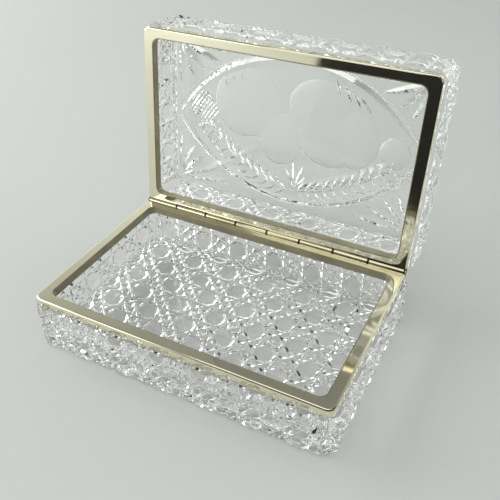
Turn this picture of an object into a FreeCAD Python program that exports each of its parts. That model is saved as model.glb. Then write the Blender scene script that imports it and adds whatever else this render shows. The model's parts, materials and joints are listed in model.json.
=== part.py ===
import FreeCAD, Part
import math
import os

# A rectangular cut-glass box with a hinged lid. Both halves are thick glass shells whose rims
# sit in brass U-channels, joined along the rear by a barrel hinge of alternate knuckles.
#
# Frame: origin at the centre of the underside, +X along the hinge, +Y to the hinge side, +Z up.
# Each half is first made in a parting frame, with the parting plane at z = 0 and the half
# hanging below it, and is then moved into place. The lid is stored leaning on its open stop.
# All sizes are in millimetres and degrees.

# --- driving dimensions -----------------------------------------------------------------------
BASE_HEIGHT = 38.0        # underside to parting plane
LID_HEIGHT = 37.0         # parting plane to the lid's outer face
OPEN_ANGLE = 97.0         # how far the lid leans back on its stop

RIM_HALF_LENGTH = 101.0   # brass channel, outside, along X
RIM_HALF_DEPTH = 65.1     # brass channel, outside, along Y
RIM_CORNER = 5.0          # outside corner radius at the front
RIM_REAR_CORNER = 0.8     # the rear corners are nearly square, beside the hinge's ends
RIM_HEIGHT = 6.0          # outer skirt, measured from the parting plane
RIM_SHEET = 0.9           # brass sheet
RIM_EDGE_ROUND = 1.2      # between flange and skirt
PARTING_GAP = 0.1         # each flange stands back this far from the parting plane

FRONT_LEDGE = 7.1         # outside of the skirt to the inside of the collar
SIDE_LEDGE = 7.6
HINGE_LEDGE = 7.35        # hinge axis to the inside of the collar
COLLAR_SHEET = 0.7
COLLAR_HEIGHT = 5.5
COLLAR_CORNER = 5.0
COLLAR_BEAD = 0.3         # round on the collar's top edge
SEAM = 0.05               # between collar and flange

BARREL_RADIUS = 1.75
PIN_RADIUS = 0.9
BASE_BORE_CLEARANCE = 0.02
LID_BORE_CLEARANCE = 0.05
KNUCKLE_COUNT = 8
KNUCKLE_GAP = 0.15
BARREL_HALF_LENGTH = 100.2
PIN_HEAD_RADIUS = 1.35
PIN_HEAD_LENGTH = 0.6
PIN_HEAD_GAP = 0.1
HINGE_SLOT = 0.5          # between a barrel and the half that it isn't joined to
STOP_EDGE = 2.0           # parting plane to the edge of the rear skirt, which is the lid's stop
SOLDER_GAP = 0.01

GLASS_PROUD = 3.0         # the cut faces stand this far outside the skirt
GLASS_CORNER = 5.5
GLASS_BEVEL = 2.5         # round the edge of the underside and of the lid's top
GLASS_WALL_SETBACK = 0.4  # inner glass wall behind the collar's face
CAVITY_CORNER = 5.5
CAVITY_FILLET = 3.0       # between inner wall and floor
FLOOR_THICKNESS = 8.0
TONGUE_TOP = 1.6          # parting plane to the glass edge in the channel
BEDDING = 0.5             # cement between glass edge and brass
SKIRT_CLEARANCE = 0.2     # skirt's free edge to the shoulder in the glass

BEARER_DEPTH = 5.0        # parting plane to the underside of the hinge bearer
BEARER_BACK = 3.25        # hinge axis to the front of the bearer
BEARER_INSET = 1.0        # ends of the bearer inside the skirt

OVAL_HALF_LENGTH = 91.0   # pointed oval cut in the lid's top, tip to middle
OVAL_HALF_WIDTH = 49.5
OVAL_GROOVE_WIDTH = 5.0
OVAL_GROOVE_DEPTH = 1.4
FAN_ROOT_X = 92.5         # root of each corner fan
FAN_ROOT_Y = 53.0
FAN_LENGTHS = (34.0, 29.0, 29.0, 36.0, 43.0)
FAN_ANGLES = (88.0, 65.0, 43.0, 21.0, 5.0)
FAN_HALF_WIDTH = 2.1
FAN_DEPTH = 1.1

# --- worked out from them ---------------------------------------------------------------------
AXIS_Y = RIM_HALF_DEPTH - BARREL_RADIUS
SLOT_RADIUS = BARREL_RADIUS + HINGE_SLOT
FLANGE_UNDER = PARTING_GAP + RIM_SHEET
COLLAR_X = RIM_HALF_LENGTH - SIDE_LEDGE
COLLAR_FRONT = -RIM_HALF_DEPTH + FRONT_LEDGE
COLLAR_REAR = AXIS_Y - HINGE_LEDGE
GLASS_HALF_LENGTH = RIM_HALF_LENGTH + GLASS_PROUD
GLASS_HALF_DEPTH = RIM_HALF_DEPTH + GLASS_PROUD
SHOULDER = RIM_HEIGHT + SKIRT_CLEARANCE
AXIS_X = FreeCAD.Vector(1, 0, 0)


def outline(half_x, front, rear, front_radius, rear_radius):
    """Face in the XY plane: a rectangle with rounded corners."""
    corners = [
        (half_x, front, front_radius, -90),
        (half_x, rear, rear_radius, 0),
        (-half_x, rear, rear_radius, 90),
        (-half_x, front, front_radius, 180),
    ]
    arcs = []
    for x, y, radius, start in corners:
        centre = FreeCAD.Vector(
            x - math.copysign(radius, x), y - radius if start in (0, 90) else y + radius, 0
        )
        points = []
        for turn in (0, 45, 90):
            angle = math.radians(start + turn)
            points.append(centre + FreeCAD.Vector(math.cos(angle), math.sin(angle), 0) * radius)
        arcs.append(points)
    edges = []
    for number, (begin, middle, end) in enumerate(arcs):
        edges.append(Part.Arc(begin, middle, end).toShape())
        edges.append(Part.LineSegment(end, arcs[(number + 1) % len(arcs)][0]).toShape())
    return Part.Face(Part.Wire(edges))


def prism(face, low, high):
    """The face, drawn at z = 0, filled from z = low to z = high."""
    solid = face.extrude(FreeCAD.Vector(0, 0, high - low))
    solid.translate(FreeCAD.Vector(0, 0, low))
    return solid


def box(x_range, y_range, z_range):
    low, high = zip(x_range, y_range, z_range)
    sizes = [b - a for a, b in zip(low, high)]
    return Part.makeBox(*sizes, FreeCAD.Vector(*low))


def bar(radius, x_start, x_end):
    """Round bar on the hinge axis."""
    return Part.makeCylinder(
        radius, x_end - x_start, FreeCAD.Vector(x_start, AXIS_Y, 0), AXIS_X
    )


def edges_at_height(solid, z):
    """Edges that lie wholly in the plane at height z."""
    return [e for e in solid.Edges if abs(e.BoundBox.ZMin - z) < 1e-6 > abs(e.BoundBox.ZMax - z)]


# --- brass channel ----------------------------------------------------------------------------
def skirt_outline(inset):
    """Outside of the channel, moved in by inset."""
    return outline(
        RIM_HALF_LENGTH - inset,
        -RIM_HALF_DEPTH + inset,
        RIM_HALF_DEPTH - inset,
        RIM_CORNER - inset,
        max(RIM_REAR_CORNER - inset, 0.2),
    )


def collar_outline(outset):
    """Inside of the collar, moved out by outset."""
    return outline(
        COLLAR_X + outset,
        COLLAR_FRONT - outset,
        COLLAR_REAR + outset,
        COLLAR_CORNER + outset,
        COLLAR_CORNER + outset,
    )


def make_rim():
    """Flange and outer skirt in one bent sheet, notched along the rear for the barrel."""
    block = prism(skirt_outline(0), -RIM_HEIGHT, -PARTING_GAP)
    block = block.makeFillet(RIM_EDGE_ROUND, edges_at_height(block, -PARTING_GAP))
    inside = prism(skirt_outline(RIM_SHEET), -RIM_HEIGHT - 1, -FLANGE_UNDER)
    opening = prism(collar_outline(COLLAR_SHEET + SEAM), -RIM_HEIGHT - 1, 1)
    notch = box(
        (-RIM_HALF_LENGTH - 1, RIM_HALF_LENGTH + 1),
        (AXIS_Y - SLOT_RADIUS, RIM_HALF_DEPTH + 1),
        (-STOP_EDGE, 1),
    )
    return block.cut([inside, opening, notch])


def make_collar():
    """Inner strip of the channel, with a small bead round its top edge."""
    ring = prism(collar_outline(COLLAR_SHEET), -COLLAR_HEIGHT, -PARTING_GAP)
    ring = ring.cut(prism(collar_outline(0), -COLLAR_HEIGHT - 1, 1))
    return ring.makeFillet(COLLAR_BEAD, edges_at_height(ring, -PARTING_GAP))


def make_bearer():
    """Bar soldered under the rear of the flange, hollowed to seat the barrel."""
    length = RIM_HALF_LENGTH - BEARER_INSET
    front = AXIS_Y - BEARER_BACK
    rear = RIM_HALF_DEPTH - RIM_SHEET
    step = AXIS_Y - SLOT_RADIUS
    low = box((-length, length), (front, rear), (-BEARER_DEPTH, -STOP_EDGE))
    high = box((-length, length), (front, step), (-STOP_EDGE, -FLANGE_UNDER))
    return low.fuse(high).removeSplitter().cut(bar(SLOT_RADIUS, -length - 1, length + 1))


def make_knuckle(number, clearance):
    """One hinge tube with the web that joins it to its own half."""
    pitch = 2 * BARREL_HALF_LENGTH / KNUCKLE_COUNT
    start = -BARREL_HALF_LENGTH + number * pitch + KNUCKLE_GAP / 2
    end = start + pitch - KNUCKLE_GAP
    tube = bar(BARREL_RADIUS, start, end)
    edge = -PARTING_GAP - 0.05
    front = AXIS_Y - SLOT_RADIUS
    seat = bar(SLOT_RADIUS - SOLDER_GAP, start, end).common(
        box((start, end), (front, AXIS_Y), (-SLOT_RADIUS, edge))
    )
    web = box((start, end), (front, AXIS_Y), (-FLANGE_UNDER, edge))
    solid = tube.fuse([seat, web]).cut(bar(PIN_RADIUS + clearance, start - 1, end + 1))
    return solid.removeSplitter()


def make_pin():
    """Hinge wire with a peened head at each end."""
    face = BARREL_HALF_LENGTH + PIN_HEAD_GAP
    wire = bar(PIN_RADIUS, -face, face)
    left = bar(PIN_HEAD_RADIUS, -face - PIN_HEAD_LENGTH, -face)
    right = bar(PIN_HEAD_RADIUS, face, face + PIN_HEAD_LENGTH)
    return wire.fuse([left, right]).removeSplitter()


# --- glass and bedding ------------------------------------------------------------------------
def tongue(grow=0.0, top=TONGUE_TOP, bottom=SHOULDER):
    """Ring of glass that stands up into the channel; grow thickens it on both faces."""
    inner_gap = COLLAR_SHEET + BEDDING
    outer_gap = RIM_SHEET + BEDDING
    rear = AXIS_Y - BEARER_BACK - BEDDING
    outer = outline(
        RIM_HALF_LENGTH - outer_gap + grow,
        -RIM_HALF_DEPTH + outer_gap - grow,
        rear + grow,
        RIM_CORNER - outer_gap + grow,
        2.0 + grow,
    )
    inner = collar_outline(inner_gap - grow)
    return prism(outer, -bottom, -top).cut(prism(inner, -bottom - 1, -top + 1))


def make_bedding():
    """Cement that fills the channel round the glass edge."""
    channel = prism(skirt_outline(RIM_SHEET), -RIM_HEIGHT + 0.2, -FLANGE_UNDER)
    channel = channel.cut(prism(collar_outline(COLLAR_SHEET), -RIM_HEIGHT - 1, 1))
    rear = AXIS_Y - BEARER_BACK
    hinge_side = box(
        (-RIM_HALF_LENGTH - 1, RIM_HALF_LENGTH + 1), (rear, RIM_HALF_DEPTH + 1), (-RIM_HEIGHT, 0)
    )
    below_bead = box(
        (-COLLAR_X - 2, COLLAR_X + 2), (COLLAR_FRONT - 2, COLLAR_REAR + 2), (-RIM_HEIGHT, -COLLAR_HEIGHT)
    )
    return channel.cut([tongue(top=TONGUE_TOP, bottom=SHOULDER + 1), hinge_side, below_bead])


def make_glass(height):
    """Thick shell, open at the parting plane, with a tongue round its mouth."""
    block = prism(
        outline(
            GLASS_HALF_LENGTH, -GLASS_HALF_DEPTH, GLASS_HALF_DEPTH, GLASS_CORNER, GLASS_CORNER
        ),
        -height,
        -SHOULDER,
    )
    block = block.makeChamfer(GLASS_BEVEL, edges_at_height(block, -height))
    hollow = prism(
        outline(
            COLLAR_X + GLASS_WALL_SETBACK,
            COLLAR_FRONT - GLASS_WALL_SETBACK,
            COLLAR_REAR + GLASS_WALL_SETBACK,
            CAVITY_CORNER,
            CAVITY_CORNER,
        ),
        -height + FLOOR_THICKNESS,
        0,
    )
    hollow = hollow.makeFillet(CAVITY_FILLET, edges_at_height(hollow, -height + FLOOR_THICKNESS))
    return block.fuse(tongue()).cut(hollow).removeSplitter()


def oval_grooves():
    """Two arc-shaped V cuts in the lid's top that meet in a pointed oval."""
    radius = (OVAL_HALF_LENGTH**2 + OVAL_HALF_WIDTH**2) / (2 * OVAL_HALF_WIDTH)
    half_turn = math.degrees(math.asin(OVAL_HALF_LENGTH / radius))
    half = OVAL_GROOVE_WIDTH / 2
    grooves = []
    for side in (1, -1):
        centre_y = side * (OVAL_HALF_WIDTH - radius)
        section = [(radius - half, 0), (radius + half, 0), (radius, OVAL_GROOVE_DEPTH)]
        points = [FreeCAD.Vector(0, centre_y + side * r, z) for r, z in section]
        face = Part.Face(Part.makePolygon(points + points[:1]))
        up = FreeCAD.Vector(0, 0, 1)
        face.rotate(FreeCAD.Vector(0, centre_y, 0), up, -half_turn)
        grooves.append(face.revolve(FreeCAD.Vector(0, centre_y, 0), up, 2 * half_turn))
    return grooves


def fan_cut(length, angle, x_sign, y_sign):
    """One leaf of a corner fan: a long shallow pyramid, widest in the middle."""
    root = (x_sign * FAN_ROOT_X, y_sign * FAN_ROOT_Y)
    turn = math.radians(angle)
    along = (-x_sign * math.cos(turn), -y_sign * math.sin(turn))
    across = (-along[1], along[0])
    start, end = 0.1 * length, length
    middle = (start + end) / 2

    def at(distance, side, z):
        return FreeCAD.Vector(
            root[0] + along[0] * distance + across[0] * side,
            root[1] + along[1] * distance + across[1] * side,
            z,
        )

    ring = [
        at(start, 0, 0),
        at(middle, FAN_HALF_WIDTH, 0),
        at(end, 0, 0),
        at(middle, -FAN_HALF_WIDTH, 0),
    ]
    deepest = at(middle, 0, FAN_DEPTH)
    faces = [Part.Face(Part.makePolygon(ring + ring[:1]))]
    for number, corner in enumerate(ring):
        after = ring[(number + 1) % len(ring)]
        faces.append(Part.Face(Part.makePolygon([corner, after, deepest, corner])))
    return Part.Solid(Part.Shell(faces))


def make_lid_glass():
    """The shell, with the pointed oval and the four corner fans cut in its outer face."""
    cutters = oval_grooves()
    for x_sign in (1, -1):
        for y_sign in (1, -1):
            for length, angle in zip(FAN_LENGTHS, FAN_ANGLES):
                cutters.append(fan_cut(length, angle, x_sign, y_sign))
    for cutter in cutters:
        cutter.translate(FreeCAD.Vector(0, 0, -LID_HEIGHT))
    return make_glass(LID_HEIGHT).cut(cutters)


# --- placing and writing ----------------------------------------------------------------------
def as_base(solid):
    placed = solid.copy()
    placed.translate(FreeCAD.Vector(0, 0, BASE_HEIGHT))
    return placed


def as_lid(solid):
    """Turns a half over onto the base, then swings it back to the open stop."""
    placed = solid.mirror(FreeCAD.Vector(0, 0, 0), FreeCAD.Vector(0, 0, 1))
    placed.translate(FreeCAD.Vector(0, 0, BASE_HEIGHT))
    placed.rotate(FreeCAD.Vector(0, AXIS_Y, BASE_HEIGHT), AXIS_X, -OPEN_ANGLE)
    return placed


def main():
    rim, collar, bearer, bedding = make_rim(), make_collar(), make_bearer(), make_bedding()
    nodes = {
        "base_glass": as_base(make_glass(BASE_HEIGHT)),
        "base_rim": as_base(rim),
        "base_collar": as_base(collar),
        "base_bedding": as_base(bedding),
        "base_hinge_bearer": as_base(bearer),
        "hinge_pin": as_base(make_pin()),
        "lid_glass": as_lid(make_lid_glass()),
        "lid_rim": as_lid(rim),
        "lid_collar": as_lid(collar),
        "lid_bedding": as_lid(bedding),
        "lid_hinge_bearer": as_lid(bearer),
    }
    for number in range(KNUCKLE_COUNT):
        place = number // 2 + 1
        if number % 2:
            nodes[f"base_knuckle_{place}"] = as_base(make_knuckle(number, BASE_BORE_CLEARANCE))
        else:
            nodes[f"lid_knuckle_{place}"] = as_lid(make_knuckle(number, LID_BORE_CLEARANCE))
    os.makedirs("parts", exist_ok=True)
    for name, shape in nodes.items():
        print(name, len(shape.Solids), shape.isValid(), round(shape.Volume, 1), len(shape.Faces))
        shape.exportStep(f"parts/{name}.step")


main()
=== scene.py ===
"""Looks of a hinged cut-glass box: the two cut shells, the metal, the light and the camera.

Lengths are in millimetres and angles in degrees. Meshes are turned to metres when they are
placed. Each glass half is made in its parting frame, with the parting plane at z = 0 and the
half hanging below it, and is cut there with V-shaped and hollow wheels, as a glass cutter would.
"""

import json
import math

import bmesh
import bpy
from mathutils import Matrix, Vector

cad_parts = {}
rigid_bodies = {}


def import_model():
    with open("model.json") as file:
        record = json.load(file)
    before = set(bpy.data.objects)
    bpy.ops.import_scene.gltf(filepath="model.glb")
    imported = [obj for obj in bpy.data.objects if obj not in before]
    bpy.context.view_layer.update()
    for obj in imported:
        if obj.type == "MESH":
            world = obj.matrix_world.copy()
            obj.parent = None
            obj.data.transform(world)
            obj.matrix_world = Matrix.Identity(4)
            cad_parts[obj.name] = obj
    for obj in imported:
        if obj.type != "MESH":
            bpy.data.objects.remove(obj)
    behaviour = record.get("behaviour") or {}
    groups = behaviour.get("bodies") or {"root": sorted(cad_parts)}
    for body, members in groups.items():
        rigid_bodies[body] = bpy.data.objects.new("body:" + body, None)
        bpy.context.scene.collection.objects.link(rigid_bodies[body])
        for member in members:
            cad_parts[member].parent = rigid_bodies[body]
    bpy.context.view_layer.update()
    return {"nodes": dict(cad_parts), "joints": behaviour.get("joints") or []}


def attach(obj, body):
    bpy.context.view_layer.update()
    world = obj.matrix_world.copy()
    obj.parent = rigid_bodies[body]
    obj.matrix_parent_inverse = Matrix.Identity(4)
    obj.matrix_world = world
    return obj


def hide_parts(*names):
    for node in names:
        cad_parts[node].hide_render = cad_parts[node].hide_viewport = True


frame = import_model()
MM = 0.001

# --- the glass shell, where the frame doesn't say it ---------------------------------------------
GLASS_CORNER = 5.5
GLASS_BEVEL = 2.5            # round the underside, and round the lid's outer face
TONGUE_FRONT_CORNER = 3.6
TONGUE_REAR_CORNER = 2.0
SKIRT_TO_TONGUE = 1.4        # brass sheet and cement, outside the tongue
COLLAR_TO_TONGUE = 0.5       # cement inside the tongue
HINGE_TO_TONGUE = 3.75       # hinge axis to the rear of the tongue
SKIRT_TO_SHOULDER = 0.2      # free edge of the skirt to the shoulder below it
COLLAR_TO_WALL = -0.3        # the cavity's wall stands a little inside the collar's outer face
CAVITY_CORNER = 5.5
CAVITY_FILLET = 3.0
FLOOR_THICKNESS = 8.0
CORNER_STEPS = 6
FILLET_STEPS = 6

# --- the cut pattern -----------------------------------------------------------------------------
CELLS_X = 14                 # cells along the hinge
CELLS_Y = 9
WALL_ROWS = 2                # cell heights from the shoulder to the edge: half, whole, half
LATTICE_HALF_WIDTH = 2.6     # V cuts between the cells
LATTICE_DEPTH = 2.3
CROSS_HALF_WIDTH = 2.4       # pairs of diagonal V cuts through every second cell
CROSS_DEPTH = 2.1
CROSS_OFFSET = 3.1           # from the cell's centre to each of the pair
RUN_OFF = 6.0                # a cut runs this far past the edge of its face
ABOVE = 1.0                  # a cutter starts this far outside the glass
LIP = 0.28                   # softened edge of a groove
BOTTOM = 0.3                 # softened bottom of a groove
EDGE_MARGIN = 1.0            # a cut between cells keeps this far inside the edge of its face
CORNER_CHAMFER = 8.0         # flat cut down each upright corner
BLADE_POINT = 0.01           # a leaf cut's first and last section, as a share of its length
BLADE_FULLNESS = 0.8         # below 1 is blunter than a sine
CREASE_ANGLE = 28.0          # edges sharper than this stay crisp

# which cells are cross-cut: those whose two numbers add up to an odd or an even number
BASE_PARITIES = {"front": 1, "rear": 1, "left": 0, "right": 0}
LID_PARITIES = {"front": 1, "rear": 0, "left": 1, "right": 1}

# --- the lid's panel -----------------------------------------------------------------------------
OVAL_HALF_LENGTH = 91.0
OVAL_HALF_WIDTH = 49.5
OVAL_BAND_HALF_WIDTH = 3.8
OVAL_BAND_DEPTH = 2.3
OVAL_STEPS = 64
OVAL_TIP_SWELL = 0.25        # the band's width at the tips, as a share of its full width
OVAL_SWELL_RATE = 3.0        # how fast it reaches its full width
OVAL_BOTTOM_SHIFT = 0.2      # the V's bottom lies this share of the half width off the middle
ARC_OVER_CHORD = 1.13
NOTCH_START = 0.75           # where a notch begins, as a share of the band's half width
NOTCH_PITCH = 1.8
NOTCH_LENGTH = 2.3
NOTCH_HALF_WIDTH = 0.75
NOTCH_DEPTH = 0.5
FAN_ROOT = (92.5, 53.0)
FAN_LENGTHS = (34.0, 29.0, 29.0, 36.0, 43.0)
FAN_ANGLES = (88.0, 65.0, 43.0, 21.0, 5.0)
FAN_HALF_WIDTH = 2.5
FAN_DEPTH = 1.7
FAN_START = 3.0              # a blade begins this far from the root
FAN_BOW = 0.04               # of its length
FROST_DEPTH = 2.0
DISH_STEPS = 40
DISH_LEVELS = (15, 35, 55, 72, 84)   # degrees round a quarter of the hollow's section
CLEFT_WIDTH = 0.28           # radians
STEM_CUTS = 6
STEM_OVERLAP = 0.25          # each stem cut runs on by about this share of its length
STEM_SPAN = 6.3              # the stem's length, in the steps that the cuts' ends take
BERRY = (-72.0, -6.0)
BERRY_RADIUS = 12.5
BERRY_PITCH = 2.6
SPRAY_ROOT = (2.0, 43.0)
FRUIT = (
    # centre, radii, cleft, cleft angle
    ((-36.0, -15.0), (27.0, 26.0), 0.10, 80.0),
    ((-10.0, 6.0), (17.0, 19.0), 0.0, 0.0),
    ((18.0, -21.0), (23.0, 20.0), 0.0, 0.0),
    ((27.0, -3.0), (24.0, 22.0), 0.08, -65.0),
    ((44.0, -4.0), (18.0, 20.0), 0.0, 0.0),
    ((73.0, -1.0), (10.5, 11.0), 0.0, 0.0),
)
SEPALS = (
    # foot, tip: short blades on two of the fruits
    ((-57.0, -33.0), (-52.0, -22.0)),
    ((-50.0, -36.0), (-46.0, -25.0)),
    ((-43.0, -38.0), (-40.0, -27.0)),
    ((27.0, -43.0), (32.0, -31.0)),
    ((33.0, -41.0), (39.0, -29.0)),
    ((39.0, -38.0), (46.0, -27.0)),
    ((45.0, -34.0), (53.0, -25.0)),
)

# --- materials -----------------------------------------------------------------------------------
GLASS_IOR = 1.54
LAMP_SHARE = 0.72            # of a lamp's light, passed by each surface of the glass
# painted shade: the near-black colour that the hinge gets in its gaps and at its joint ends
JOINT_SHADE = (0.04, 0.03, 0.02)
JOINT_SHADE_REACH = 0.003          # metres
JOINT_SHADE_SHARE = 0.03             # of a hinge piece's length, darkened by painted shade at each end
FLOOR_TONES = (0.63, 0.64, 0.625), (0.65, 0.66, 0.645)
CEMENT_TONES = (0.55, 0.53, 0.46), (0.72, 0.70, 0.62)

# --- camera and stage ----------------------------------------------------------------------------
CAMERA_PLACE = (164.7, -275.6, 304.6)
CAMERA_AZIMUTH = 27.79
CAMERA_ELEVATION = 36.81
CAMERA_ROLL = -0.735
CAMERA_LENS = 46.74
FLOOR_HALF = 5000.0
FLOOR_DROP = 0.25            # the cut feet stand this far clear of the floor, on their high spots

# shade, whether rays that have passed through glass see it, and corners: across the view, back
# towards the camera and up, from the frame's origin
DARK_CARDS = (
    (0.006, False, ((-242, 180, 0), (420, 180, 0), (420, 240, 200), (-242, 240, 200))),
    (0.006, True, ((-420, 620, 60), (320, 620, 60), (320, 620, 950), (-420, 620, 950))),
    (0.006, True, ((600, -100, 120), (600, 500, 120), (600, 500, 900), (600, -100, 900))),
    (0.25, True, ((-60, -600, 510), (400, -600, 510), (400, -600, 1080), (-60, -600, 1080))),
)

# sine of the elevation where the backdrop starts to fade and where it ends, then its two strengths
WORLD_FADE = (0.42, 0.72, 1.0, 0.3)
WORLD_COLOUR = (0.955, 1.0, 0.95)
LIGHTS = (
    # name, place and target in metres, size in metres, watts
    ("window", (-1.7, -0.2, 0.95), (0, 0, 0.03), (1.5, 1.5), 24),
    ("reflector", (-0.9, -1.05, 0.4), (0, 0, 0.1), (0.6, 0.8), 1.6),
    ("ceiling", (0.0, -0.6, 2.0), (0, 0, 0), (1.8, 1.4), 8.5),
)
ALL_BOUNCES = 80
GLOSSY_BOUNCES = 32
DIFFUSE_BOUNCES = 6

HINGE = frame["joints"][0]
HINGE_POINT = Vector(HINGE["pos_m"]) / MM
OPEN_ANGLE = HINGE["range_deg"][1]


# --- the two halves in their parting frames ------------------------------------------------------
def base_placement():
    """From the parting frame to the row frame, still in millimetres."""
    return Matrix.Translation((0, 0, HINGE_POINT.z))


def lid_placement():
    """The lid is the same half turned over, then swung back about the hinge."""
    to_hinge = Matrix.Translation(HINGE_POINT)
    swing = to_hinge @ Matrix.Rotation(math.radians(-OPEN_ANGLE), 4, "X") @ to_hinge.inverted()
    return swing @ base_placement() @ Matrix.Scale(-1, 4, (0, 0, 1))


def parting_box(node, placement):
    """A CAD node's lowest and highest corner in its half's parting frame."""
    back = placement.inverted()
    points = [back @ (v.co / MM) for v in frame["nodes"][node].data.vertices]
    low = Vector(min(p[k] for p in points) for k in range(3))
    high = Vector(max(p[k] for p in points) for k in range(3))
    return low, high


class Half:
    """One half of the box: its placement and the sizes that the frame gives it."""

    def __init__(self, name, placement):
        self.name = name
        self.placement = placement
        low, high = parting_box(f"{name}_glass", placement)
        self.half_x, self.half_y, self.height = high.x, high.y, -low.z
        self.tongue_top = high.z
        self.rim = parting_box(f"{name}_rim", placement)
        self.collar = parting_box(f"{name}_collar", placement)
        self.shoulder = -self.rim[0].z + SKIRT_TO_SHOULDER

    def place(self, obj):
        """Moves a finished piece from the parting frame to the row frame, in metres."""
        matrix = Matrix.Scale(MM, 4) @ self.placement
        obj.data.transform(matrix)
        if matrix.determinant() < 0:
            obj.data.flip_normals()
        obj.data.update()


# --- mesh helpers --------------------------------------------------------------------------------
def mesh_object(name, points, faces, collection=None):
    mesh = bpy.data.meshes.new(name)
    mesh.from_pydata(points, [], faces)
    mesh.update()
    obj = bpy.data.objects.new(name, mesh)
    (collection or bpy.context.scene.collection).objects.link(obj)
    return obj


def ring(half_x, front, rear, front_radius, rear_radius, z):
    """Points round a rectangle with rounded corners, the same number whatever its size."""
    corners = [
        (half_x - rear_radius, rear - rear_radius, rear_radius, 0),
        (-half_x + rear_radius, rear - rear_radius, rear_radius, 90),
        (-half_x + front_radius, front + front_radius, front_radius, 180),
        (half_x - front_radius, front + front_radius, front_radius, 270),
    ]
    points = []
    for x, y, radius, start in corners:
        for step in range(CORNER_STEPS + 1):
            turn = math.radians(start + 90 * step / CORNER_STEPS)
            points.append((x + radius * math.cos(turn), y + radius * math.sin(turn), z))
    return points


def skin(sections):
    """Points and faces of the closed shell through a stack of equal loops, capped at both ends."""
    count = len(sections[0])
    points = [p for section in sections for p in section]
    faces = [tuple(reversed(range(count)))]
    for level in range(len(sections) - 1):
        for k in range(count):
            a = level * count + k
            b = level * count + (k + 1) % count
            faces.append((a, b, b + count, a + count))
    last = (len(sections) - 1) * count
    faces.append(tuple(range(last, last + count)))
    return points, faces


def blank(half):
    """The uncut shell: underside, outer wall, shoulder, tongue, cavity wall and floor."""
    def glass_ring(inset, z):
        corner = GLASS_CORNER - inset
        return ring(half.half_x - inset, -half.half_y + inset, half.half_y - inset, corner, corner, z)

    def tongue_ring(z):
        low, high = half.rim
        return ring(
            high.x - SKIRT_TO_TONGUE, low.y + SKIRT_TO_TONGUE, HINGE_POINT.y - HINGE_TO_TONGUE,
            TONGUE_FRONT_CORNER, TONGUE_REAR_CORNER, z,
        )

    def inner_ring(outset, z, corner):
        low, high = half.collar
        return ring(high.x + outset, low.y - outset, high.y + outset, corner, corner, z)

    floor = -half.height + FLOOR_THICKNESS
    tongue_corner = CAVITY_CORNER + COLLAR_TO_TONGUE - COLLAR_TO_WALL
    sections = [
        glass_ring(GLASS_BEVEL, -half.height),
        glass_ring(0, -half.height + GLASS_BEVEL),
        glass_ring(0, -half.shoulder),
        tongue_ring(-half.shoulder),
        tongue_ring(half.tongue_top),
        inner_ring(COLLAR_TO_TONGUE, half.tongue_top, tongue_corner),
        inner_ring(COLLAR_TO_TONGUE, -half.shoulder, tongue_corner),
        inner_ring(COLLAR_TO_WALL, -half.shoulder, CAVITY_CORNER),
    ]
    for step in range(FILLET_STEPS + 1):
        turn = math.radians(90 * step / FILLET_STEPS)
        inset = CAVITY_FILLET * (1 - math.cos(turn))
        rise = CAVITY_FILLET * (1 - math.sin(turn))
        sections.append(inner_ring(COLLAR_TO_WALL - inset, floor + rise, CAVITY_CORNER - inset))
    return mesh_object(f"{half.name}_glass_cut", *skin(sections))


# --- cutters -------------------------------------------------------------------------------------
class Face:
    """A flat face to be cut: across and down run along it, inward points into the glass."""

    def __init__(self, origin, across, down, inward, cutters, polish):
        self.origin = Vector(origin)
        self.axes = Vector(across), Vector(down), Vector(inward)
        self.cutters = cutters
        self.polish = polish

    def at(self, u, v, depth):
        """The point at (u, v) on the face and depth below it."""
        across, down, inward = self.axes
        return self.origin + across * u + down * v + inward * depth

    def add(self, sections, material=None):
        """Adds the cutter that passes through equal sections of (u, v, depth) points."""
        points, faces = skin(sections)
        name = f"cut_{len(self.cutters.objects)}"
        obj = mesh_object(name, [self.at(*p) for p in points], faces, self.cutters)
        mesh = bmesh.new()
        mesh.from_mesh(obj.data)
        bmesh.ops.recalc_face_normals(mesh, faces=mesh.faces)
        mesh.to_mesh(obj.data)
        mesh.free()
        obj.data.materials.append(material or self.polish)


def groove_profile(half_width, depth):
    """Half of a V cut's section, from outside the glass to the bottom, as (offset, depth).

    The lips and the bottom are softened, as acid polishing leaves them.
    """
    slope = depth / half_width
    return [
        (half_width + LIP, -ABOVE),
        (half_width + LIP, 0),
        (half_width - LIP, LIP * slope),
        (BOTTOM, depth - BOTTOM * slope),
        (BOTTOM / 3, depth - BOTTOM * slope * 0.7),
    ]


def groove(face, begin, end, half_width, depth):
    """A straight V cut."""
    begin, end = Vector(begin), Vector(end)
    along = (end - begin).normalized()
    side = Vector((-along.y, along.x))
    profile = groove_profile(half_width, depth)
    profile += [(-offset, z) for offset, z in reversed(profile)]
    face.add([[(*(place + side * offset), z) for offset, z in profile] for place in (begin, end)])


def blade(face, root, tip, half_width, depth, bow=0.0, steps=8):
    """A leaf-shaped V cut, pointed at both ends, whose middle may be bowed to one side."""
    root, tip = Vector(root), Vector(tip)
    along = tip - root
    side = Vector((-along.y, along.x)).normalized()
    sections = []
    for step in range(steps + 1):
        share = min(max(step / steps, BLADE_POINT), 1 - BLADE_POINT)
        swell = math.sin(math.pi * share) ** BLADE_FULLNESS
        centre = root + along * share + side * bow * math.sin(math.pi * share)
        left = centre - side * half_width * swell
        right = centre + side * half_width * swell
        sections.append(
            [(*left, -ABOVE), (*right, -ABOVE), (*right, 0), (*centre, depth * swell), (*left, 0)]
        )
    face.add(sections)


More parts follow.
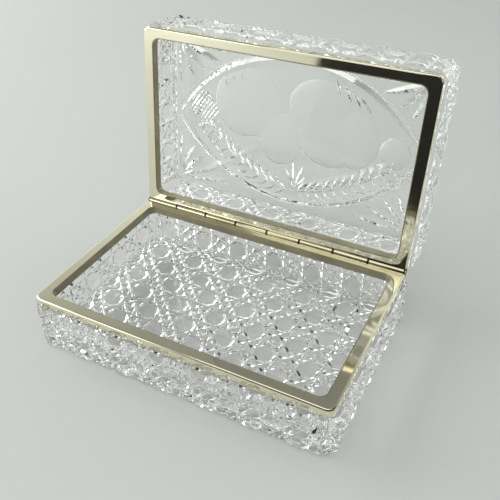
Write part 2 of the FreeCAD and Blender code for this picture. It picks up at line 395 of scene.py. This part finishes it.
def lattice(face, pitch, origin, low, high, parity):
    """V cuts between the cells, and a pair of diagonals each way through the odd cells.

    origin is the centre of cell (0, 0), and a cell is cross-cut where its two numbers add up
    to parity, odd or even. low and high are the corners of the face.
    """
    pitch_u, pitch_v = pitch
    reach = [(low[k] - RUN_OFF, high[k] + RUN_OFF) for k in (0, 1)]
    for k in range(-CELLS_X, CELLS_X + 1):
        u = origin[0] + (k + 0.5) * pitch_u
        if low[0] + EDGE_MARGIN < u < high[0] - EDGE_MARGIN:
            groove(face, (u, reach[1][0]), (u, reach[1][1]), LATTICE_HALF_WIDTH, LATTICE_DEPTH)
        v = origin[1] + (k + 0.5) * pitch_v
        if low[1] + EDGE_MARGIN < v < high[1] - EDGE_MARGIN:
            groove(face, (reach[0][0], v), (reach[0][1], v), LATTICE_HALF_WIDTH, LATTICE_DEPTH)
    shift = CROSS_OFFSET * math.hypot(pitch_u, pitch_v) / pitch_v
    for slope in (pitch_u / pitch_v, -pitch_u / pitch_v):
        for k in range(-2 * CELLS_X, 2 * CELLS_X + 1):
            if (k - parity) % 2:
                continue
            for offset in (-shift, shift):
                start_u = origin[0] + k * pitch_u + offset
                clipped = clip_line(start_u, origin[1], slope, reach)
                if clipped:
                    groove(face, *clipped, CROSS_HALF_WIDTH, CROSS_DEPTH)


def clip_line(start_u, start_v, slope, reach):
    """The part inside reach of the line u = start_u + slope * (v - start_v), or None."""
    (low_u, high_u), (low_v, high_v) = reach
    ends = sorted(start_v + (u - start_u) / slope for u in (low_u, high_u))
    begin, end = max(ends[0], low_v), min(ends[1], high_v)
    if end - begin < RUN_OFF:
        return None
    return [(start_u + slope * (v - start_v), v) for v in (begin, end)]


WALLS = {
    # which way the wall lies from the middle, and the direction along it
    "front": ((0, -1, 0), (1, 0, 0)),
    "rear": ((0, 1, 0), (1, 0, 0)),
    "left": ((-1, 0, 0), (0, 1, 0)),
    "right": ((1, 0, 0), (0, 1, 0)),
}


def cut_walls(half, cutters, polish, parities):
    """Half a row of cells, a whole row and half a row round all four walls."""
    row = (half.height - half.shoulder) / WALL_ROWS
    for name, (outward, across) in WALLS.items():
        outward = Vector(outward)
        origin = (outward.x * half.half_x, outward.y * half.half_y, 0)
        face = Face(origin, across, (0, 0, -1), -outward, cutters, polish)
        if outward.y:
            length, pitch = half.half_x, 2 * half.half_x / CELLS_X
            first = pitch / 2
        else:
            length, pitch = half.half_y, 2 * half.half_y / CELLS_Y
            first = 0
        low, high = (-length, half.shoulder), (length, half.height)
        lattice(face, (pitch, row), (first, half.shoulder + row), low, high, parities[name])


def cut_corners(half, cutters, polish):
    """A flat cut down each upright corner, so that the corner cells end in line with the rim."""
    for x_sign in (1, -1):
        for y_sign in (1, -1):
            middle = Vector((x_sign, y_sign, 0)) * -CORNER_CHAMFER / 2
            origin = Vector((x_sign * half.half_x, y_sign * half.half_y, 0)) + middle
            inward = Vector((-x_sign, -y_sign, 0)).normalized()
            face = Face(origin, (inward.y, -inward.x, 0), (0, 0, -1), inward, cutters, polish)
            sections = []
            for depth in (0.0, -RUN_OFF):
                corners = ((-RUN_OFF, half.shoulder), (RUN_OFF, half.shoulder))
                corners += ((RUN_OFF, half.height + RUN_OFF), (-RUN_OFF, half.height + RUN_OFF))
                sections.append([(u, v, depth) for u, v in corners])
            face.add(sections)


def outer_face(half, cutters, polish):
    """The underside of the base, or the lid's panel."""
    return Face((0, 0, -half.height), (1, 0, 0), (0, 1, 0), (0, 0, 1), cutters, polish)


def cut_floor(half, face):
    """The underside of the base: whole cells from edge to edge."""
    pitch = (2 * half.half_x / CELLS_X, 2 * half.half_y / CELLS_Y)
    low, high = (-half.half_x, -half.half_y), (half.half_x, half.half_y)
    lattice(face, pitch, (pitch[0] / 2, 0), low, high, 0)


# --- the lid's panel -----------------------------------------------------------------------------
def oval_point(share, side, outset=0.0):
    """A point on one arc of the pointed oval, and the direction away from the middle."""
    radius = (OVAL_HALF_LENGTH**2 + OVAL_HALF_WIDTH**2) / (2 * OVAL_HALF_WIDTH)
    half_turn = math.asin(OVAL_HALF_LENGTH / radius)
    turn = (2 * share - 1) * half_turn
    out = Vector((math.sin(turn), side * math.cos(turn)))
    centre = Vector((0, side * (OVAL_HALF_WIDTH - radius)))
    return centre + out * (radius + outset), out


def cut_oval(panel):
    """A smooth V band that thins towards the two tips, with fine notches along its outside."""
    for side in (1, -1):
        sections = []
        for step in range(OVAL_STEPS + 1):
            share = step / OVAL_STEPS
            swell = min(1.0, OVAL_TIP_SWELL + OVAL_SWELL_RATE * min(share, 1 - share))
            middle, out = oval_point(share, side)
            wide = out * OVAL_BAND_HALF_WIDTH * swell
            sections.append(
                [
                    (*(middle - wide), -ABOVE),
                    (*(middle + wide), -ABOVE),
                    (*(middle + wide), 0),
                    (*(middle + wide * OVAL_BOTTOM_SHIFT), OVAL_BAND_DEPTH * swell),
                    (*(middle - wide), 0),
                ]
            )
        panel.add(sections)
        begin, end = oval_point(0, side)[0], oval_point(1, side)[0]
        count = int((end - begin).length * ARC_OVER_CHORD / NOTCH_PITCH)
        for number in range(2, count - 1):
            share = number / count
            inner, out = oval_point(share, side, OVAL_BAND_HALF_WIDTH * NOTCH_START)
            blade(panel, inner, inner + out * NOTCH_LENGTH, NOTCH_HALF_WIDTH, NOTCH_DEPTH, steps=4)


def cut_fans(panel):
    """Five blades in each corner, spreading from the corner."""
    for x_sign in (1, -1):
        for y_sign in (1, -1):
            root = Vector((x_sign * FAN_ROOT[0], y_sign * FAN_ROOT[1]))
            for length, angle in zip(FAN_LENGTHS, FAN_ANGLES):
                turn = math.radians(angle)
                along = Vector((-x_sign * math.cos(turn), -y_sign * math.sin(turn)))
                bow = x_sign * y_sign * FAN_BOW * length * math.sin(2 * turn)
                begin, end = root + along * FAN_START, root + along * length
                blade(panel, begin, end, FAN_HALF_WIDTH, FAN_DEPTH, bow)


def dish(panel, centre, radii, depth, material, cleft=0.0, cleft_angle=0.0):
    """A shallow hollow with its own surface, round or oval, and cleft on one side if asked."""
    sections = []
    turns = [math.radians(angle) for angle in DISH_LEVELS]
    levels = [(1.0, -ABOVE), (1.0, 0.0)] + [(math.cos(turn), math.sin(turn)) for turn in turns]
    for scale, height in levels:
        loop = []
        for step in range(DISH_STEPS):
            turn = 2 * math.pi * step / DISH_STEPS
            away = math.remainder(turn - math.radians(cleft_angle), 2 * math.pi)
            reach = 1 - cleft * math.exp(-((away / CLEFT_WIDTH) ** 2))
            z = height if height <= 0 else height * depth
            loop.append(
                (
                    centre[0] + radii[0] * reach * scale * math.cos(turn),
                    centre[1] + radii[1] * reach * scale * math.sin(turn),
                    z,
                )
            )
        sections.append(loop)
    panel.add(sections, material)


def ray(angle, length=1.0):
    """A flat vector of that length, turned by angle in degrees from +X."""
    turn = math.radians(angle)
    return Vector((math.cos(turn), math.sin(turn))) * length


def bezier(a, b, c, share):
    """Point and direction on a curve from a to c that b pulls aside."""
    a, b, c = Vector(a), Vector(b), Vector(c)
    first, second = a.lerp(b, share), b.lerp(c, share)
    return first.lerp(second, share), (second - first).normalized()


def spray(panel, start, pull, end, pairs, longest):
    """A bowed stem with pairs of leaf cuts."""
    for number in range(STEM_CUTS):
        begin = bezier(start, pull, end, number / STEM_CUTS)[0]
        finish = bezier(start, pull, end, (number + 1 + STEM_OVERLAP) / STEM_SPAN)[0]
        blade(panel, begin, finish, 0.9, 0.8, steps=6)
    for number in range(pairs):
        share = (number + 0.8) / pairs
        foot, along = bezier(start, pull, end, share)
        length = longest * (1.0 - 0.45 * abs(share - 0.35))
        for side in (1, -1):
            across = Vector((-along.y, along.x)) * side
            tip = foot + (along * 0.84 + across * 0.58) * length
            blade(panel, foot + across * 0.8, tip, 2.7, 1.9, bow=side * 1.2)


def cut_berry(panel):
    """A berry hatched both ways, with five small leaves."""
    berry = Vector(BERRY)
    for slant in (35, 125):
        along = ray(slant)
        across = Vector((-along.y, along.x))
        for number in range(-4, 5):
            reach = BERRY_RADIUS * math.sqrt(1 - (number / 5) ** 2)
            middle = berry + across * number * BERRY_PITCH
            blade(panel, middle - along * reach, middle + along * reach, 1.25, 0.9, steps=6)
    foot = berry + Vector((4.0, 12.0))
    for angle in (-20, 25, 70, 115, 160):
        blade(panel, foot, foot + ray(angle, 9.5), 1.4, 1.3)


def cut_fruit(panel, frost):
    """A generic spray of frosted fruit with leaves under it and a hatched berry at one end."""
    for centre, radii, cleft, angle in FRUIT:
        dish(panel, centre, radii, FROST_DEPTH, frost, cleft, angle)
    for foot, tip in SEPALS:
        blade(panel, foot, tip, 1.2, 1.9)
    cut_berry(panel)
    spray(panel, SPRAY_ROOT, (-34.0, 40.0), (-64.0, 10.0), 10, 17.0)
    spray(panel, SPRAY_ROOT, (36.0, 40.0), (74.0, 10.0), 11, 17.0)
    foot = Vector((3.0, 40.0))
    for angle, length in ((-118, 15), (-95, 22), (-70, 19), (-48, 14)):
        blade(panel, foot, foot + ray(angle, length), 1.7, 1.3, bow=1.2)


def cut_panel(panel, frost):
    """All the engraving on the lid."""
    cut_oval(panel)
    cut_fans(panel)
    cut_fruit(panel, frost)


# --- cutting and finishing a shell ---------------------------------------------------------------
def cut(obj, cutters):
    """Takes every cutter in the collection away from obj."""
    wheel = obj.modifiers.new("cut", "BOOLEAN")
    wheel.operation = "DIFFERENCE"
    wheel.solver = "MANIFOLD"
    wheel.operand_type = "COLLECTION"
    wheel.material_mode = "TRANSFER"
    wheel.collection = cutters
    graph = bpy.context.evaluated_depsgraph_get()
    mesh = bpy.data.meshes.new_from_object(obj.evaluated_get(graph))
    obj.modifiers.clear()
    obj.data = mesh
    for cutter in list(cutters.objects):
        bpy.data.objects.remove(cutter)
    bpy.data.collections.remove(cutters)


def finish_glass(obj):
    """Keeps the cut edges crisp and the rounded faces smooth."""
    obj.data.shade_smooth()
    obj.data.set_sharp_from_angle(angle=math.radians(CREASE_ANGLE))
    weigh = obj.modifiers.new("weigh", "WEIGHTED_NORMAL")
    weigh.keep_sharp = True


def make_shell(half, clear, frost, parities):
    """Makes, cuts and places one glass shell, which stands for the frame's plain one."""
    cutters = bpy.data.collections.new(f"{half.name}_cutters")
    bpy.context.scene.collection.children.link(cutters)
    shell = blank(half)
    shell.data.materials.append(clear)
    cut_walls(half, cutters, clear, parities)
    cut_corners(half, cutters, clear)
    if half.name == "base":
        cut_floor(half, outer_face(half, cutters, clear))
    else:
        cut_panel(outer_face(half, cutters, clear), frost)
    cut(shell, cutters)
    half.place(shell)
    finish_glass(shell)
    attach(shell, half.name)
    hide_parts(f"{half.name}_glass")


# --- materials -----------------------------------------------------------------------------------
class Finish:
    """A material's Principled shader, with short ways to feed it."""

    def __init__(self, name, **values):
        self.material = bpy.data.materials.new(name)
        self.material.use_nodes = True
        self.tree = self.material.node_tree
        self.shader = self.tree.nodes["Principled BSDF"]
        for key, value in values.items():
            self.shader.inputs[key.replace("_", " ")].default_value = value

    def noise(self, scale, detail=3.0, stretch=(1, 1, 1)):
        """Noise in the object's own space, with scale in features per metre."""
        place = self.tree.nodes.new("ShaderNodeTexCoord")
        mapping = self.tree.nodes.new("ShaderNodeMapping")
        mapping.inputs["Scale"].default_value = stretch
        noise = self.tree.nodes.new("ShaderNodeTexNoise")
        noise.inputs["Scale"].default_value = scale
        noise.inputs["Detail"].default_value = detail
        self.tree.links.new(place.outputs["Object"], mapping.inputs["Vector"])
        self.tree.links.new(mapping.outputs["Vector"], noise.inputs["Vector"])
        return noise.outputs["Fac"]

    def spread(self, value, low, high, start=0.3, end=0.7):
        """Maps value from start..end to low..high."""
        mapping = self.tree.nodes.new("ShaderNodeMapRange")
        numbers = {"From Min": start, "From Max": end, "To Min": low, "To Max": high}
        for key, number in numbers.items():
            mapping.inputs[key].default_value = number
        self.tree.links.new(value, mapping.inputs["Value"])
        return mapping.outputs["Result"]

    def blend(self, value, first, second):
        """A colour between first and second."""
        ramp = self.tree.nodes.new("ShaderNodeValToRGB")
        ramp.color_ramp.elements[0].position = 0.3
        ramp.color_ramp.elements[0].color = (*first, 1)
        ramp.color_ramp.elements[1].position = 0.7
        ramp.color_ramp.elements[1].color = (*second, 1)
        self.tree.links.new(value, ramp.inputs["Fac"])
        return ramp.outputs["Color"]

    def darken(self, colour, dark, open_share):
        """dark where open_share is 0, and colour where it is 1."""
        mix = self.tree.nodes.new("ShaderNodeMix")
        mix.data_type = "RGBA"
        self.tree.links.new(open_share, mix.inputs[0])
        mix.inputs[6].default_value = (*dark, 1)
        self.tree.links.new(colour, mix.inputs[7])
        return mix.outputs[2]

    def paint_gap_shade(self, colour, reach, dark):
        """Paints shade into colour where surfaces close in on each other, within reach metres, by
        ambient occlusion.
        """
        hidden = self.tree.nodes.new("ShaderNodeAmbientOcclusion")
        hidden.inputs["Distance"].default_value = reach
        hidden.samples = 16
        return self.darken(colour, dark, self.spread(hidden.outputs["AO"], 0, 1, 0.25, 0.75))

    def paint_joint_shade(self, colour, share, dark):
        """Paints shade on the two ends of a piece along X, each over about that share of its length,
        so that the joints read as dark lines.
        """
        place = self.tree.nodes.new("ShaderNodeTexCoord")
        along = self.tree.nodes.new("ShaderNodeSeparateXYZ")
        from_end = self.tree.nodes.new("ShaderNodeMath")
        from_end.operation = "PINGPONG"
        from_end.inputs[1].default_value = 0.5
        self.tree.links.new(place.outputs["Generated"], along.inputs["Vector"])
        self.tree.links.new(along.outputs["X"], from_end.inputs[0])
        unshaded = self.spread(from_end.outputs[0], 0, 1, share * 0.6, share * 1.2)
        return self.darken(colour, dark, unshaded)

    def feed(self, socket, value):
        """Links value to one of the shader's sockets."""
        self.tree.links.new(value, self.shader.inputs[socket])

    def pass_lamps(self, share):
        """Lets that share of a lamp's light through each surface, for lighter shadows."""
        path = self.tree.nodes.new("ShaderNodeLightPath")
        clear = self.tree.nodes.new("ShaderNodeBsdfTransparent")
        clear.inputs["Color"].default_value = (share, share, share, 1)
        mix = self.tree.nodes.new("ShaderNodeMixShader")
        self.tree.links.new(path.outputs["Is Shadow Ray"], mix.inputs[0])
        self.tree.links.new(self.shader.outputs[0], mix.inputs[1])
        self.tree.links.new(clear.outputs[0], mix.inputs[2])
        self.tree.links.new(mix.outputs[0], self.tree.nodes["Material Output"].inputs["Surface"])

    def bump(self, value, strength, distance):
        """A bump of the given height in metres; several bumps are chained."""
        bump = self.tree.nodes.new("ShaderNodeBump")
        bump.inputs["Strength"].default_value = strength
        bump.inputs["Distance"].default_value = distance
        self.tree.links.new(value, bump.inputs["Height"])
        normal = self.shader.inputs["Normal"]
        if normal.is_linked:
            self.tree.links.new(normal.links[0].from_socket, bump.inputs["Normal"])
        self.tree.links.new(bump.outputs["Normal"], normal)


def clear_glass():
    """Polished lead crystal, faintly uneven from the wheel and the acid bath."""
    finish = Finish("clear_glass", Transmission_Weight=1.0, IOR=GLASS_IOR)
    finish.shader.inputs["Base Color"].default_value = (0.995, 1.0, 0.995, 1)
    finish.feed("Roughness", finish.spread(finish.noise(90), 0.0, 0.025))
    finish.bump(finish.noise(180, 2), 0.25, 0.0002)
    finish.bump(finish.noise(900, 2), 0.15, 0.00003)
    finish.pass_lamps(LAMP_SHARE)
    return finish.material


def frosted_glass():
    """The same glass left matt by a stone wheel."""
    finish = Finish("frosted_glass", Transmission_Weight=1.0, IOR=GLASS_IOR)
    finish.shader.inputs["Base Color"].default_value = (1.0, 0.995, 0.97, 1)
    finish.feed("Roughness", finish.spread(finish.noise(300), 0.48, 0.58))
    finish.bump(finish.noise(2500, 2), 0.3, 0.0001)
    finish.pass_lamps(LAMP_SHARE)
    return finish.material


def metal(name, bright, worn, low, high, jointed=False):
    """Polished plate with slow clouds of tarnish and fine lengthwise scratches.

    A jointed piece has painted shade in its gaps and at its ends.
    """
    finish = Finish(name, Metallic=1.0)
    plate = finish.blend(finish.noise(55, 6), worn, bright)
    if jointed:
        # painted shade: ambient occlusion darkens the hinge's gaps, and each piece is darkened at
        # both ends
        plate = finish.paint_joint_shade(finish.paint_gap_shade(plate, JOINT_SHADE_REACH, JOINT_SHADE), JOINT_SHADE_SHARE, JOINT_SHADE)
    finish.feed("Base Color", plate)
    finish.feed("Roughness", finish.spread(finish.noise(140, 8), low, high))
    finish.bump(finish.noise(30, 2), 0.1, 0.0002)
    finish.bump(finish.noise(2500, 4, (0.05, 1, 1)), 0.03, 0.00001)
    return finish.material


def cement():
    """The pale setting compound round each glass edge."""
    finish = Finish("cement")
    finish.feed("Base Color", finish.blend(finish.noise(500, 6), *CEMENT_TONES))
    finish.feed("Roughness", finish.spread(finish.noise(900), 0.75, 0.95))
    finish.bump(finish.noise(1800, 4), 0.4, 0.0001)
    return finish.material


def assign(nodes, material):
    """Makes material the only one on each of the named CAD nodes."""
    for name in nodes:
        mesh = frame["nodes"][name].data
        mesh.materials.clear()
        mesh.materials.append(material)


def dress_frame():
    """Gives the carried-over CAD nodes their finishes."""
    names = list(frame["nodes"])
    gilt = metal("rim_brass", (0.92, 0.88, 0.70), (0.87, 0.82, 0.62), 0.04, 0.09)
    # painted shade: the collars get a much darker copy of the rims' brass, for the shade inside the
    # rim
    inner = metal("collar_brass", (0.42, 0.37, 0.26), (0.32, 0.28, 0.19), 0.3, 0.4)
    hinge = metal("hinge_brass", (0.88, 0.82, 0.60), (0.74, 0.67, 0.47), 0.04, 0.1, True)
    steel = metal("pin_steel", (0.62, 0.60, 0.56), (0.45, 0.43, 0.40), 0.2, 0.35)
    assign([n for n in names if n.endswith("rim")], gilt)
    assign([n for n in names if n.endswith("collar")], inner)
    assign([n for n in names if "knuckle" in n or "bearer" in n], hinge)
    assign(["hinge_pin"], steel)
    assign([n for n in names if n.endswith("bedding")], cement())


# --- stage, light and camera ---------------------------------------------------------------------
def stage_floor():
    """A plain pale floor, with a very faint cloudiness."""
    finish = Finish("floor", Roughness=0.55)
    finish.feed("Base Color", finish.blend(finish.noise(3, 2), *FLOOR_TONES))
    finish.shader.inputs["Specular IOR Level"].default_value = 0.0
    reach, drop = FLOOR_HALF * MM, -FLOOR_DROP * MM
    signs = ((-1, -1), (1, -1), (1, 1), (-1, 1))
    corners = [(x * reach, y * reach, drop) for x, y in signs]
    floor = mesh_object("floor", corners, [(0, 1, 2, 3)])
    floor.data.materials.append(finish.material)


def dark_cards():
    """Dark shapes round the object, which only the metal and the glass show."""
    turn = Matrix.Rotation(math.radians(CAMERA_AZIMUTH), 4, "Z")
    for number, (shade, through_glass, shape) in enumerate(DARK_CARDS):
        finish = Finish(f"card_{number}", Roughness=1.0)
        finish.shader.inputs["Base Color"].default_value = (shade, shade, shade, 1)
        corners = [turn @ Vector((across, -back, up)) * MM for across, back, up in shape]
        card = mesh_object(f"card_{number}", corners, [(0, 1, 2, 3)])
        card.data.materials.append(finish.material)
        card.visible_camera = False
        card.visible_diffuse = False
        card.visible_shadow = False
        card.visible_transmission = through_glass


def soft_light(name, place, target, size, power):
    """A white rectangular area light that faces target."""
    light = bpy.data.lights.new(name, "AREA")
    light.shape = "RECTANGLE"
    light.size, light.size_y = size
    light.energy = power
    obj = bpy.data.objects.new(name, light)
    obj.location = place
    obj.rotation_euler = (Vector(target) - Vector(place)).to_track_quat("-Z", "Y").to_euler()
    bpy.context.scene.collection.objects.link(obj)


def studio_world():
    """A bright backdrop near the horizon, and a dimmer room above it."""
    world = bpy.data.worlds.new("studio")
    world.use_nodes = True
    tree = world.node_tree
    direction = tree.nodes.new("ShaderNodeTexCoord")
    height = tree.nodes.new("ShaderNodeSeparateXYZ")
    fade = tree.nodes.new("ShaderNodeMapRange")
    fade.interpolation_type = "SMOOTHSTEP"
    for key, number in zip(("From Min", "From Max", "To Min", "To Max"), WORLD_FADE):
        fade.inputs[key].default_value = number
    background = tree.nodes["Background"]
    background.inputs["Color"].default_value = (*WORLD_COLOUR, 1)
    tree.links.new(direction.outputs["Generated"], height.inputs["Vector"])
    tree.links.new(height.outputs["Z"], fade.inputs["Value"])
    tree.links.new(fade.outputs["Result"], background.inputs["Strength"])
    bpy.context.scene.world = world


def set_camera():
    """The camera at the viewing angle, looking at the box from the front right and above."""
    data = bpy.data.cameras.new("camera")
    data.sensor_width = 36.0
    data.lens = CAMERA_LENS
    camera = bpy.data.objects.new("camera", data)
    turn = Matrix.Rotation(math.radians(CAMERA_AZIMUTH), 4, "Z")
    tilt = Matrix.Rotation(math.radians(90 - CAMERA_ELEVATION), 4, "X")
    roll = Matrix.Rotation(math.radians(CAMERA_ROLL), 4, "Z")
    camera.matrix_world = Matrix.Translation(Vector(CAMERA_PLACE) * MM) @ turn @ tilt @ roll
    bpy.context.scene.collection.objects.link(camera)
    bpy.context.scene.camera = camera


def set_render_quality():
    """Enough bounces for light to pass through several walls of cut glass."""
    scene = bpy.context.scene
    scene.view_settings.view_transform = "Standard"
    scene.cycles.max_bounces = ALL_BOUNCES
    scene.cycles.transmission_bounces = ALL_BOUNCES
    scene.cycles.glossy_bounces = GLOSSY_BOUNCES
    scene.cycles.diffuse_bounces = DIFFUSE_BOUNCES


# --- the whole scene -----------------------------------------------------------------------------
set_camera()
clear, frost = clear_glass(), frosted_glass()
make_shell(Half("base", base_placement()), clear, frost, BASE_PARITIES)
make_shell(Half("lid", lid_placement()), clear, frost, LID_PARITIES)
dress_frame()
stage_floor()
dark_cards()
studio_world()
for light in LIGHTS:
    soft_light(*light)
set_render_quality()
